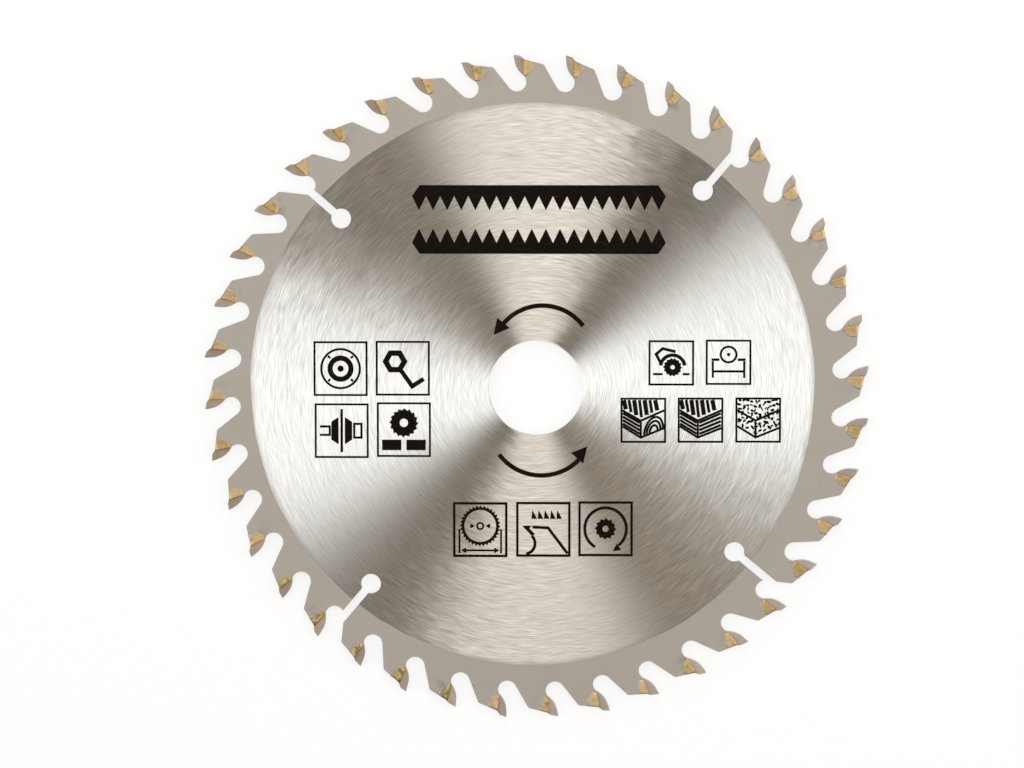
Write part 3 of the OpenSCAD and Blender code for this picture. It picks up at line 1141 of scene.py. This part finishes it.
def print_chips():
    """Flecks on the chipboard picture."""
    x, y = CHIP_PLACE
    flecks = grow(
        "print_chips", chip_rule(), Columns=CHIP_ROWS, Rows=CHIP_ROWS, Seed=CHIP_SEED,
        X=x, Y=y, Half=SMALL_BOX[1], Fleck=FLECK_SIZE)
    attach(flecks, "root")


# Band of two bars with teeth; a triangle of radius 1 has this height, base and distance from middle to base
BAND_SIDES = (-26.0, 27.2)
BAND_TEETH = 18
BAND_TOOTH_HEIGHT = 3.0
BAND_SLANT = 1.6
UPPER_BAR = (40.3, 42.6)
LOWER_BAR = (28.2, 30.5)
TRIANGLE_HEIGHT = 1.5
TRIANGLE_BASE = math.sqrt(3.0)
TRIANGLE_INSET = 0.5


def tooth_row_rule():
    """A row of ink triangles that point down from a bar's lower edge or up from its upper one."""
    rule, given = new_tree("tooth_row_rule", ("Count",), ("Pitch", "Height", "Left", "Edge", "Heading"))
    start = rule.joined(given["Left"], given["Edge"], INK_MIDDLE)
    sockets = {"Count": given["Count"], "Start Location": start, "Offset": rule.joined(given["Pitch"])}
    row = rule.geometry("MeshLine", sockets, mode="OFFSET")
    sockets = {"Geometry": ink_prism(rule, 3), "Translation": (TRIANGLE_INSET, 0.0, 0.0)}
    prism = rule.geometry("Transform", sockets)
    height = rule.math("DIVIDE", given["Height"], TRIANGLE_HEIGHT)
    width = rule.math("DIVIDE", given["Pitch"], TRIANGLE_BASE)
    size = rule.joined(height, width, 1.0)
    close_tree(rule, copies(rule, row, prism, rule.joined(z=given["Heading"]), size), INK)
    return rule


def print_tooth_band():
    """A generic band in the wide place above the bore: two bars whose saw teeth face each other."""
    layer = Print("print_band_bars")
    left, right = BAND_SIDES
    low, top = UPPER_BAR
    layer.fill([(left, low), (right, low), (right - BAND_SLANT, top), (left + BAND_SLANT, top)])
    low, top = LOWER_BAR
    layer.fill([(left + BAND_SLANT, low), (right - BAND_SLANT, low), (right, top), (left, top)])
    layer.piece()
    rule = tooth_row_rule()
    pitch = (right - left) / BAND_TEETH
    rows = (("print_upper_teeth", UPPER_BAR[0], -90.0), ("print_lower_teeth", LOWER_BAR[1], 90.0))
    for name, edge, heading in rows:
        row = grow(
            name, rule, Count=BAND_TEETH, Pitch=pitch, Height=BAND_TOOTH_HEIGHT,
            Left=left + pitch / 2, Edge=edge, Heading=math.radians(heading))
        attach(row, "root")


add_run_outs()
print_chips()
print_tooth_band()
print_turn_arrows()
for print_name, print_boxes in PICTURES.items():
    print_pictures(print_name, print_boxes)


# Stage

FLOOR_REACH = 40.0
FLOOR_GLOW = 0.78
FLOOR_PAPER = colour(0.90, 0.91, 0.92)
FLOOR_WHITE = colour(1.0, 1.0, 1.0)
ROOM = colour(0.10, 0.06, 0.02)
HORIZON = colour(0.36, 0.33, 0.29)
HORIZON_RISE = (0.05, 0.40)
COOL = (0.97, 1.0, 1.02)
WARM = (1.0, 0.96, 0.91)
AMBER = (1.0, 0.90, 0.76)

# Softboxes: name, azimuth and half width in degrees, radiance, tint, and distance in metres
SOFTBOXES = (
    ("lamp_right", 4.5, 30.0, 2.20, COOL, 0.90),
    ("lamp_left", 184.5, 30.0, 2.20, COOL, 0.90),
    ("lamp_top", 90.0, 24.5, 2.40, WARM, 0.70),
    ("lamp_bottom", 270.0, 20.5, 0.80, WARM, 0.70),
)
# Panels of a softbox: ending of the name, angle from straight above and half height in degrees
PANELS = (("_high", 25.0, 11.0), ("_low", 55.0, 19.0))
# The fill lamp, as add_lamp takes it
FILL_LAMP = ("lamp_fill", 312.0, 45.0, 14.0, 14.0, 0.75, AMBER, 0.50)


def add_floor():
    """A pale floor under the lowest tips, white to the camera apart from the blade's soft shadow."""
    level = CAD_BOX[0].z
    corners = rectangle(-FLOOR_REACH, -FLOOR_REACH, FLOOR_REACH, FLOOR_REACH)
    mesh = bpy.data.meshes.new("floor")
    mesh.from_pydata([(x, y, level) for x, y in corners], [], [(0, 1, 2, 3)])
    floor = new_object("floor", mesh)
    material = bpy.data.materials.new("floor")
    material.use_nodes = True
    graph = Graph(material.node_tree)
    graph.tree.nodes.clear()
    rays = graph.node("ShaderNodeLightPath").outputs
    seen = graph.math("MAXIMUM", rays["Is Camera Ray"], rays["Is Glossy Ray"])
    seen = graph.math("MAXIMUM", seen, rays["Is Transmission Ray"])
    paper = graph.node("ShaderNodeBsdfDiffuse", {"Color": FLOOR_PAPER}).outputs[0]
    white = graph.node("ShaderNodeEmission", {"Color": FLOOR_WHITE, "Strength": 1.0}).outputs[0]
    sockets = {0: graph.times(seen, FLOOR_GLOW), 1: paper, 2: white}
    mixed = graph.node("ShaderNodeMixShader", sockets).outputs[0]
    graph.node("ShaderNodeOutputMaterial", {"Surface": mixed})
    mesh.materials.append(material)


def add_room():
    """Dim warm room overhead, pale towards the horizon."""
    world = bpy.data.worlds.new("room")
    world.use_nodes = True
    graph = Graph(world.node_tree)
    background = next(n for n in graph.tree.nodes if n.type == "BACKGROUND")
    height = graph.split(graph.node("ShaderNodeTexCoord").outputs["Generated"])["Z"]
    graph.feed(background.inputs["Color"], graph.blend(graph.ramp(height, *HORIZON_RISE), HORIZON, ROOM))
    bpy.context.scene.world = world


def add_lamp(name, azimuth, from_top, half_angle, half_height, radiance, tint, distance):
    """A rectangular lamp facing the blade; from_top is its angle from straight above."""
    turn = math.radians(azimuth)
    tilt = math.radians(from_top)
    away = Vector((math.cos(turn) * math.sin(tilt), math.sin(turn) * math.sin(tilt), math.cos(tilt)))
    across = Vector((-math.sin(turn), math.cos(turn), 0.0))
    lamp = bpy.data.lights.new(name, "AREA")
    lamp.shape = "RECTANGLE"
    lamp.size = 2 * distance * math.sin(tilt) * math.tan(math.radians(half_angle))
    lamp.size_y = 2 * distance * math.tan(math.radians(half_height))
    lamp.energy = radiance * math.pi * lamp.size * lamp.size_y
    lamp.color = tint
    turned = Matrix((across, away.cross(across), away)).transposed().to_4x4()
    new_object(name, lamp).matrix_world = Matrix.Translation(away * distance) @ turned


def add_softbox(name, azimuth, half_angle, radiance, tint, distance):
    """One soft wedge of light from a side, made of a high panel and a wider low one."""
    for ending, from_top, half_height in PANELS:
        add_lamp(name + ending, azimuth, from_top, half_angle, half_height, radiance, tint, distance)


def add_camera():
    """The camera at the photograph's viewing angle, looking at the arbor."""
    optics = bpy.data.cameras.new("camera")
    optics.lens = CAMERA_LENS
    optics.sensor_width = CAMERA_SENSOR
    optics.shift_x, optics.shift_y = CAMERA_SHIFT
    camera = new_object("camera", optics)
    back = Vector(CAMERA_PLACE).normalized()
    right = Vector((0.0, 1.0, 0.0)).cross(back).normalized()
    turned = Matrix((right, back.cross(right), back)).transposed().to_4x4()
    camera.matrix_world = Matrix.Translation(CAMERA_PLACE) @ turned
    bpy.context.scene.camera = camera


add_floor()
add_room()
for softbox in SOFTBOXES:
    add_softbox(*softbox)
add_lamp(*FILL_LAMP)
add_camera()
bpy.context.scene.view_settings.view_transform = "Standard"
